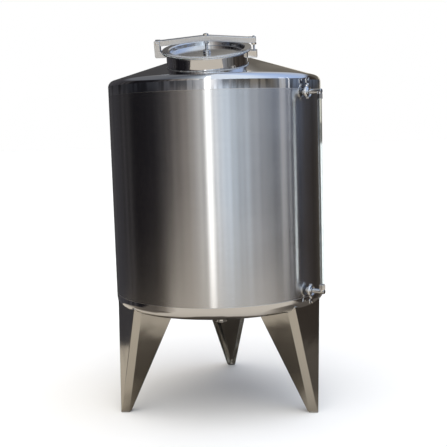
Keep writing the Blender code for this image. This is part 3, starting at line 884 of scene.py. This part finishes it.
def make_yoke():
    half = YOKE_WIDTH / 2.0
    bar = extruded(rounded(yoke_outline(), YOKE_ROUND), -half, half, "XZ")
    add_piece("yoke_formed", bar, "satin", "yoke_bar", MANWAY, "lid", bevel=YOKE_EDGE)
    foot = LID_PAN_TOP + GAP + BOSS_HEIGHT + GAP
    spindle = threaded_rod(SPINDLE_RADIUS, foot, YOKE_HIGH + YOKE_PEAK + SPINDLE_PROUD, SPINDLE_PITCH)
    add_piece("spindle_thread", spindle, "fitting", "clamp_spindle", MANWAY, "lid")
    under_bar = YOKE_LOW + YOKE_PEAK - GAP
    over_bar = YOKE_HIGH + YOKE_PEAK + GAP
    for name, node, low, high in (("under", "lower", under_bar - LOWER_NUT_HEIGHT, under_bar),
                                  ("over", "upper", over_bar, over_bar + UPPER_NUT_HEIGHT)):
        nut = hexagon_nut(SPINDLE_NUT_RADIUS, low, high, SPINDLE_RADIUS - THREAD_BITE)
        add_piece("nut_" + name + "_bar", nut, "fitting", "spindle_nut_" + node, MANWAY, "lid")
    at_screw = MANWAY @ Matrix.Translation((SCREW_U, 0.0, 0.0))
    screw = threaded_rod(SCREW_RADIUS, SCREW_LOW_W, YOKE_HIGH + SCREW_PROUD, SCREW_PITCH)
    add_piece("screw_thread", screw, "fitting", "clamp_screw", at_screw, "lid")
    under_tail = YOKE_LOW - GAP
    nut = hexagon_nut(SCREW_NUT_RADIUS, under_tail - SCREW_NUT_HEIGHT, under_tail, SCREW_RADIUS - THREAD_BITE)
    add_piece("nut_under_tail", nut, "fitting", "screw_nut", at_screw, "lid")


def make_hinge():
    start = YOKE_WIDTH / 2.0 + EAR_CLEARANCE
    end = start + EAR_THICKNESS
    neck_u = -math.sqrt(NECK_RADIUS ** 2 - start ** 2) - GAP
    rim_u = -RIM_RADIUS - EAR_CLEARANCE
    below_rim = -RIM_THICKNESS - EAR_CLEARANCE
    top = HINGE_W + EAR_RISE
    outline = [(EAR_OUTER_U, EAR_LOW_W + EAR_CHAMFER), (EAR_OUTER_U + EAR_CHAMFER, EAR_LOW_W),
               (neck_u, EAR_LOW_W), (neck_u, below_rim), (rim_u, below_rim), (rim_u, -RIM_THICKNESS / 2.0),
               (EAR_INNER_U, 0.0), (EAR_INNER_U, top), (EAR_OUTER_U, top)]
    for name, near in (("lower", -end), ("upper", start)):
        ear = extruded(rounded(outline, EAR_ROUND), near, near + EAR_THICKNESS, "XZ")
        add_piece("ear_plate_" + name, ear, "satin", "hinge_ear_" + name, MANWAY, bevel=SOFT_EDGE)
    length = end + PIN_PROUD
    lying = Matrix.Translation((HINGE_U, 0.0, HINGE_W)) @ Matrix.Rotation(math.radians(90.0), 4, "X")
    pin = turned_ring(PIN_RADIUS, 0.0, -length, length, SOFT_EDGE, SMALL)
    add_piece("pin_rod", pin, "fitting", "hinge_pin", MANWAY @ lying)


def make_latch_lug():
    outer_u = SCREW_U + LUG_PROUD
    neck_u = NECK_RADIUS + GAP
    slot_u = SCREW_U - LUG_SLOT_HALF
    outline = [(neck_u, -LUG_HALF), (outer_u, -LUG_HALF), (outer_u, -LUG_SLOT_HALF), (slot_u, -LUG_SLOT_HALF),
               (slot_u, LUG_SLOT_HALF), (outer_u, LUG_SLOT_HALF), (outer_u, LUG_HALF), (neck_u, LUG_HALF)]
    lug = extruded(rounded(outline, LUG_ROUND), LUG_LOW_W, LUG_HIGH_W)
    add_piece("lug_block", lug, "fitting", "latch_lug", MANWAY, bevel=LUG_EDGE)


# Level gauge; each end's clamp opens towards wing_up, 1 for up and -1 for down
FERRULE_FACE = SHELL_RADIUS + NOZZLE_LENGTH
WING_NUT_HALF = [(0.005, 0.0), (0.006, 0.010), (0.016, 0.016), (0.018, 0.036), (0.011, 0.045), (0.0045, 0.028)]


def make_nozzle(name, place):
    start = SHELL_RADIUS - NOZZLE_INSET
    face = FERRULE_FACE
    lip = FERRULE_THICKNESS
    bore = NOZZLE_RADIUS - NOZZLE_WALL
    nozzle = [(NOZZLE_RADIUS, start), (NOZZLE_RADIUS, face - 2.0 * lip), (FERRULE_RADIUS, face - lip),
              (FERRULE_RADIUS, face), (bore, face), (bore, start)]
    add_piece("nozzle_" + name, turned(rounded(nozzle, SHEET_EDGE), SMALL), "fitting", "gauge_nozzle_" + name,
              TANK @ place)
    ring = circle_path(NOZZLE_RADIUS + SMALL_BEAD_OUT, SHELL_RADIUS + NOZZLE_BEAD_LIFT, 150)
    add_piece("nozzle_weld_" + name, bead([place @ point for point in ring], SMALL_BEAD), "weld")


def make_clamp(name, radial, wing_up):
    middle = FERRULE_FACE + GAP / 2.0
    half = CLAMP_WIDTH / 2.0
    bore = FERRULE_RADIUS + GAP
    drop, slope = CLAMP_SLOPE
    ring = [(CLAMP_RADIUS - drop, middle - half), (CLAMP_RADIUS, middle - half + slope),
            (CLAMP_RADIUS, middle + half - slope), (CLAMP_RADIUS - drop, middle + half),
            (bore, middle + half), (bore, middle - half)]
    clamp = turned(rounded(ring, SOFT_EDGE), SMALL)
    near, far = CLAMP_LUG_ACROSS
    foot, head = [wing_up * (CLAMP_RADIUS + reach) for reach in CLAMP_LUG_UP]
    lug = rounded([(near, foot), (far, foot), (far, head), (near, head)], CLAMP_LUG_ROUND)
    for side in (-1.0, 1.0):
        merge(clamp, extruded([(side * a, b) for a, b in lug], middle - half + CLAMP_LUG_INSET,
                              middle + half - CLAMP_LUG_INSET))
    pivot = turned_ring(PIVOT_RADIUS, 0.0, middle - half, middle + half, FINE_EDGE, 24)
    merge(clamp, pivot, Matrix.Translation((0.0, -wing_up * (CLAMP_RADIUS + PIVOT_OUT), 0.0)))
    add_piece("clamp_band_" + name, clamp, "fitting", "gauge_clamp_" + name, radial)


def make_wing_nut(name, radial, wing_up):
    reach = CLAMP_RADIUS + GAP
    half = WING_NUT_THICKNESS / 2.0
    outline = [(x, wing_up * (reach + y)) for x, y in WING_NUT_HALF]
    outline += [(-x, y) for x, y in reversed(outline)]
    nut = extruded(rounded(outline, WING_ROUND), FERRULE_FACE - half, FERRULE_FACE + half)
    add_piece("wing_nut_" + name, nut, "fitting", "gauge_wing_nut_" + name, radial, bevel=WING_EDGE)
    foot, head = WING_BOSS_RADII
    top = reach + WING_BOSS_HEIGHT
    boss = turned(rounded([(foot, reach), (head, top), (0.0, top), (0.0, reach)], WING_BOSS_EDGE), 32)
    up = Matrix.Translation((0.0, 0.0, FERRULE_FACE)) @ Matrix.Rotation(math.radians(-90.0 * wing_up), 4, "X")
    add_piece("wing_boss_" + name, boss, "fitting", matrix=radial @ up)
    stud = threaded_rod(STUD_RADIUS, CLAMP_RADIUS - STUD_DEPTH, reach + STUD_RISE, STUD_PITCH, 20)
    add_piece("wing_stud_" + name, stud, "fitting", matrix=radial @ up)


def make_elbow(name, height, radial, inward):
    """The elbow and the glass's gland; inward is the way to the glass, 1 for up and -1 for down."""
    near = FERRULE_FACE + GAP
    far = SHELL_RADIUS + GAUGE_STANDOFF + NOZZLE_RADIUS
    lip = FERRULE_THICKNESS
    arm = [(FERRULE_RADIUS, near), (FERRULE_RADIUS, near + lip), (NOZZLE_RADIUS, near + 2.0 * lip),
           (NOZZLE_RADIUS, far), (0.0, far), (0.0, near)]
    tube = turned(rounded(arm, FORGED_EDGE), SMALL)
    add_piece("arm_tube_" + name, tube, "fitting", "gauge_arm_" + name, radial)
    out = heading_vector(GAUGE_HEADING)
    upright = TANK @ axes_matrix((0.0, 0.0, height), out, UP.cross(out), UP)
    upright = upright @ Matrix.Translation((SHELL_RADIUS + GAUGE_STANDOFF, 0.0, 0.0))
    start = NOZZLE_RADIUS + GAP
    low, high = sorted((inward * start, inward * (start + GAUGE_NUT_HEIGHT)))
    nut = hexagon_nut(GAUGE_NUT_RADIUS, low, high, GLASS_RADIUS + GAP)
    add_piece("gland_nut_" + name, nut, "fitting", "gauge_nut_" + name, upright)
    low, high = sorted((0.0, inward * (NOZZLE_RADIUS - GLAND_COLLAR + GAUGE_NUT_SHELF)))
    neck = turned_ring(NOZZLE_RADIUS + GLAND_COLLAR, 0.0, low, high, FINE_EDGE, SMALL)
    add_piece("gland_neck_" + name, neck, "fitting", matrix=upright)


def make_gauge():
    for name, height, wing_up in (("upper", GAUGE_TOP, 1.0), ("lower", GAUGE_BASE, -1.0)):
        place = facing_out(GAUGE_HEADING, 0.0, height)
        make_nozzle(name, place)
        make_clamp(name, TANK @ place, wing_up)
        make_wing_nut(name, TANK @ place, wing_up)
        make_elbow(name, height, TANK @ place, -wing_up)
    inset = NOZZLE_RADIUS + GAUGE_NUT_SHELF + 2.0 * GAP
    tube = turned_ring(GLASS_RADIUS, GLASS_RADIUS - GLASS_WALL, GAUGE_BASE + inset, GAUGE_TOP - inset,
                       GLASS_EDGE, SMALL)
    aside = heading_vector(GAUGE_HEADING) * (SHELL_RADIUS + GAUGE_STANDOFF)
    add_piece("glass_tube", tube, "glass", "sight_glass", TANK @ Matrix.Translation(aside))


# Floor, and a beige card that only reflections show, with painted shade on it. Patches of painted shade are x,
# y, the radius of the dark middle and the radius where the beige is reached
FLOOR_COLOURS = [(0.3, (0.93, 0.895, 0.84)), (0.7, (0.945, 0.91, 0.855))]
FLOOR_SIZE = 60.0
CARD_COLOURS = [(0.0, (0.095, 0.078, 0.060)), (0.5, (0.20, 0.165, 0.125)), (1.0, (0.54, 0.47, 0.375))]
CARD_SHADOWS = [(-0.04, -0.58, 0.36, 0.50), (-0.05, -0.22, 0.45, 0.75), (1.9, 0.6, 1.3, 2.0),
                (-0.35, 0.45, 0.5, 0.75), (-1.75, -0.75, 0.70, 1.05), (-3.6, -0.7, 1.3, 2.6)]
CARD_MOTTLING = 0.35
CARD_RADII = (3.6, 3.5)
CARD_CENTRE = (0.2, -2.0)
CARD_HEIGHT = 0.0006


def stage_plane(name, bm, height, shade):
    """A level sheet of paper at this height; shade sets the colour on its shader."""
    bmesh.ops.translate(bm, verts=bm.verts, vec=(0.0, 0.0, height))
    mesh = new_mesh(name, bm)
    graph, shader, material = new_material(name + "_paper")
    graph.feed(shader, "Base Color", shade(graph, graph.place()))
    graph.feed(shader, "Roughness", 0.9)
    graph.feed(shader, "Specular IOR Level", 0.1)
    mesh.materials.append(material)
    plane = new_object(name, mesh)
    return plane


def floor_shade(graph, place):
    return graph.ramp(graph.noise(place, scale=1.5, detail=4.0), FLOOR_COLOURS)


def card_shade(graph, place):
    """Beige, with mottled patches of painted shade under the tank and beside it."""
    fibre = graph.noise(place, scale=3.0, detail=3.0)
    light = None
    for x, y, dark_radius, light_radius in CARD_SHADOWS:
        apart = graph.add("VectorMath", {"operation": "DISTANCE"}, {0: place, 1: (x, y, 0.0)})["Value"]
        reach = graph.math("ADD", apart, graph.times(fibre, CARD_MOTTLING))
        clear = graph.rise(reach, dark_radius, light_radius)
        light = clear if light is None else graph.times(light, clear)
    return graph.ramp(light, CARD_COLOURS)


def make_floor():
    bm = bmesh.new()
    bmesh.ops.create_grid(bm, x_segments=2, y_segments=2, size=FLOOR_SIZE)
    floor = stage_plane("floor", bm, 0.0, floor_shade)
    floor.visible_glossy = False
    bm = bmesh.new()
    bmesh.ops.create_circle(bm, cap_ends=True, segments=96, radius=1.0)
    bmesh.ops.scale(bm, verts=bm.verts, vec=(*CARD_RADII, 1.0))
    bmesh.ops.translate(bm, verts=bm.verts, vec=(*CARD_CENTRE, 0.0))
    card = stage_plane("reflection_card", bm, CARD_HEIGHT, card_shade)
    card.visible_camera = False
    card.visible_diffuse = False
    card.visible_transmission = False
    card.visible_shadow = False


# What the steel mirrors round about, by heading: dark on the left, bright in front, dull on the right
SURROUNDINGS = [
    (-180.0, (0.130, 0.118, 0.100)),
    (-170.0, (0.078, 0.076, 0.078)),
    (-128.0, (0.055, 0.053, 0.060)),
    (-104.0, (0.048, 0.045, 0.047)),
    (-90.0, (0.010, 0.009, 0.011)),
    (-64.0, (0.014, 0.013, 0.016)),
    (-50.0, (0.048, 0.045, 0.048)),
    (-38.0, (0.150, 0.136, 0.132)),
    (-24.0, (0.290, 0.262, 0.245)),
    (-12.0, (0.67, 0.66, 0.65)),
    (-3.0, (1.05, 1.06, 1.06)),
    (4.0, (1.10, 1.15, 1.22)),
    (14.0, (0.92, 1.06, 1.22)),
    (27.0, (0.62, 0.73, 0.86)),
    (40.0, (0.45, 0.505, 0.58)),
    (54.0, (0.29, 0.30, 0.325)),
    (68.0, (0.20, 0.20, 0.20)),
    (80.0, (0.14, 0.135, 0.13)),
    (92.0, (0.060, 0.050, 0.043)),
    (140.0, (0.040, 0.033, 0.028)),
    (162.0, (0.16, 0.145, 0.12)),
    (180.0, (0.130, 0.118, 0.100)),
]
# A low row of shapes just above the horizon, which the polished flange mirrors
HORIZON = [
    (-180.0, (0.060, 0.058, 0.060)),
    (-90.0, (0.022, 0.023, 0.028)),
    (-60.0, (0.035, 0.036, 0.042)),
    (-36.0, (0.110, 0.112, 0.125)),
    (-20.0, (0.25, 0.255, 0.27)),
    (-7.0, (0.50, 0.51, 0.53)),
    (-2.0, (1.05, 1.05, 1.06)),
    (3.0, (1.05, 1.05, 1.06)),
    (10.0, (0.50, 0.54, 0.61)),
    (20.0, (0.27, 0.28, 0.30)),
    (34.0, (0.22, 0.20, 0.175)),
    (52.0, (0.20, 0.175, 0.14)),
    (68.0, (0.15, 0.135, 0.115)),
    (80.0, (0.20, 0.23, 0.28)),
    (100.0, (0.16, 0.20, 0.28)),
    (126.0, (0.09, 0.11, 0.15)),
    (180.0, (0.060, 0.058, 0.060)),
]
HORIZON_LOW = 0.045
HORIZON_HIGH = 0.105
HORIZON_BLUR = 0.015
BLOTCHES_AROUND = 36.0
BLOTCHES_UP = 5.0
BLOTCH_TONES = [(0.42, 0.45), (0.50, 1.15)]
STREAKS_AROUND = 70.0
STREAK_FADE = (0.6, 0.3)
STREAK_TONES = [(0.30, 0.45), (0.70, 1.55)]
# How high the surroundings reach before the sky, as the sine of the height above the horizon
SKYLINE = [(-180.0, 0.46), (-168.0, 0.52), (-40.0, 0.52), (-14.0, 0.44), (-4.0, 0.22), (8.0, 0.14),
           (82.0, 0.14), (112.0, 0.20), (140.0, 0.45), (180.0, 0.46)]
SKYLINE_BLUR = (-0.05, 0.09)
SKY = [
    (-180.0, (0.62, 0.60, 0.56)),
    (-168.0, (0.48, 0.47, 0.45)),
    (-152.0, (0.18, 0.185, 0.20)),
    (-80.0, (0.17, 0.178, 0.195)),
    (-50.0, (0.12, 0.13, 0.155)),
    (-28.0, (0.22, 0.245, 0.28)),
    (-14.0, (0.45, 0.50, 0.56)),
    (-3.0, (0.92, 1.00, 1.10)),
    (42.0, (0.92, 1.03, 1.18)),
    (60.0, (0.76, 0.90, 1.14)),
    (75.0, (0.60, 0.75, 1.06)),
    (105.0, (0.48, 0.63, 0.95)),
    (150.0, (0.56, 0.64, 0.80)),
    (180.0, (0.62, 0.60, 0.56)),
]


def by_heading(graph, share, stops):
    """A ramp round the room; share runs from 0 to 1 as the heading runs from -180 to 180."""
    return graph.ramp(share, [((heading + 180.0) / 360.0, value) for heading, value in stops])


def low_row(graph, height, share, room):
    """The room's colour with the horizon's row of darker and lighter shapes in front of it."""
    place = graph.add("CombineXYZ", X=graph.times(share, BLOTCHES_AROUND),
                      Y=graph.times(height, BLOTCHES_UP))[0]
    blotches = graph.noise(place, scale=1.0, detail=2.0, roughness=0.6)
    shapes = graph.mix(1.0, by_heading(graph, share, HORIZON), graph.ramp(blotches, BLOTCH_TONES), "MULTIPLY")
    above = graph.rise(height, HORIZON_LOW - HORIZON_BLUR, HORIZON_LOW + HORIZON_BLUR, "SMOOTHSTEP")
    below = graph.rise(height, HORIZON_HIGH + HORIZON_BLUR, HORIZON_HIGH - HORIZON_BLUR, "SMOOTHSTEP")
    return graph.mix(graph.times(above, below), room, shapes)


def make_world():
    """Camera rays see a plain white backdrop; the steel mirrors a soft room under a pale blue sky."""
    world = bpy.data.worlds.new("studio")
    world.use_nodes = True
    world.node_tree.nodes.clear()
    graph = Graph(world.node_tree)
    x, y, height = graph.add("SeparateXYZ", Vector=graph.add("TexCoord")["Generated"])
    turn = graph.math("ARCTAN2", x, graph.times(y, -1.0))
    share = graph.math("ADD", graph.times(turn, 0.5 / math.pi), 0.5)
    streaks = graph.add("TexNoise", {"noise_dimensions": "1D"}, W=graph.times(share, STREAKS_AROUND),
                        Scale=1.0, Detail=3.0, Roughness=0.65)["Fac"]
    uneven = graph.mix(graph.rise(height, *STREAK_FADE), by_heading(graph, share, SURROUNDINGS),
                       graph.ramp(streaks, STREAK_TONES), "MULTIPLY")
    above = graph.math("SUBTRACT", height, by_heading(graph, share, SKYLINE))
    whole = graph.mix(graph.rise(above, *SKYLINE_BLUR, "SMOOTHSTEP"), low_row(graph, height, share, uneven),
                      by_heading(graph, share, SKY))
    room = graph.add("Background", Color=whole, Strength=1.0)[0]
    backdrop = graph.add("Background", Color=(1.0, 1.0, 1.0, 1.0), Strength=1.0)[0]
    seen = graph.add("LightPath")["Is Camera Ray"]
    mixed = graph.add("MixShader", None, {1: room, 2: backdrop}, Fac=seen)[0]
    graph.add("OutputWorld", Surface=mixed)
    bpy.context.scene.world = world


# Soft upright panels: heading, distance, lower and upper edge, width, brightness in the steel, and colour
STREAK_PANELS = {
    "key_strip": (-1.0, 3.0, 0.02, 5.0, 0.28, 1.25, (1.0, 0.99, 0.97)),
    "side_strip": (76.0, 4.5, 0.02, 3.2, 0.60, 0.36, (1.0, 0.98, 0.95)),
    "side_strip_narrow": (84.5, 4.5, 0.02, 3.2, 0.10, 0.9, (1.0, 1.0, 1.0)),
}
BACK_PANEL = (170.0, 6.0, 1.6, 2.9, 2.6, 0.55, (1.0, 0.93, 0.80))
OVERHEAD_STRENGTH = 2.7
OVERHEAD_SPREAD = math.radians(100.0)
OVERHEAD_TILT = (math.radians(12.0), math.radians(-10.0), 0.0)


def panel_light(name, heading, distance, low, high, width, brightness, colour):
    data = bpy.data.lights.new(name, "AREA")
    data.shape = "RECTANGLE"
    data.size = width
    data.size_y = high - low
    data.energy = brightness * math.pi * width * (high - low)
    data.color = colour
    light = new_object(name, data)
    light.matrix_world = TANK @ facing_out(heading, distance, (low + high) / 2.0)
    light.visible_camera = False
    return light


def make_lights():
    """Three strips keep to the shell and the roof, so that their streaks show on those alone."""
    strips = [panel_light(name, *panel) for name, panel in STREAK_PANELS.items()]
    receivers = bpy.data.collections.new("streaked_pieces")
    for name in ("shell_sheet", "roof_sheet"):
        receivers.objects.link(bpy.data.objects[name])
    for light in strips:
        light.light_linking.receiver_collection = receivers
    panel_light("back_strip", *BACK_PANEL)
    data = bpy.data.lights.new("overhead", "SUN")
    data.energy = OVERHEAD_STRENGTH
    data.angle = OVERHEAD_SPREAD
    overhead = new_object("overhead", data)
    overhead.rotation_euler = OVERHEAD_TILT
    overhead.visible_glossy = False


# The camera's place and turn, fitted to the tank's outline
CAMERA_TURN = 5.53
CAMERA_YAW = 0.35
CAMERA_PITCH = 6.79
CAMERA_ROLL = -1.68
CAMERA_DISTANCE = 4.696
CAMERA_HEIGHT = 1.580
CAMERA_LENS = 65.57
SENSOR = 36.0


def make_camera():
    yaw, pitch, roll = (math.radians(v) for v in (CAMERA_YAW, CAMERA_PITCH, CAMERA_ROLL))
    forward = Vector((math.sin(yaw) * math.cos(pitch), math.cos(yaw) * math.cos(pitch), -math.sin(pitch)))
    level = Vector((math.cos(yaw), -math.sin(yaw), 0.0))
    upright = level.cross(forward)
    right = level * math.cos(roll) + upright * math.sin(roll)
    top = upright * math.cos(roll) - level * math.sin(roll)
    data = bpy.data.cameras.new("camera")
    data.sensor_width = SENSOR
    data.lens = CAMERA_LENS
    camera = new_object("camera", data)
    turn = Matrix.Rotation(math.radians(CAMERA_TURN), 4, "Z")
    stand = axes_matrix((0.0, -CAMERA_DISTANCE, CAMERA_HEIGHT), right, top, -forward)
    camera.matrix_world = TANK @ turn @ stand
    bpy.context.scene.camera = camera


make_vessel()
make_outlet()
make_legs()
make_neck()
make_lid()
make_yoke()
make_hinge()
make_latch_lug()
make_gauge()
make_floor()
make_world()
make_lights()
make_camera()
bpy.context.scene.view_settings.view_transform = "Standard"
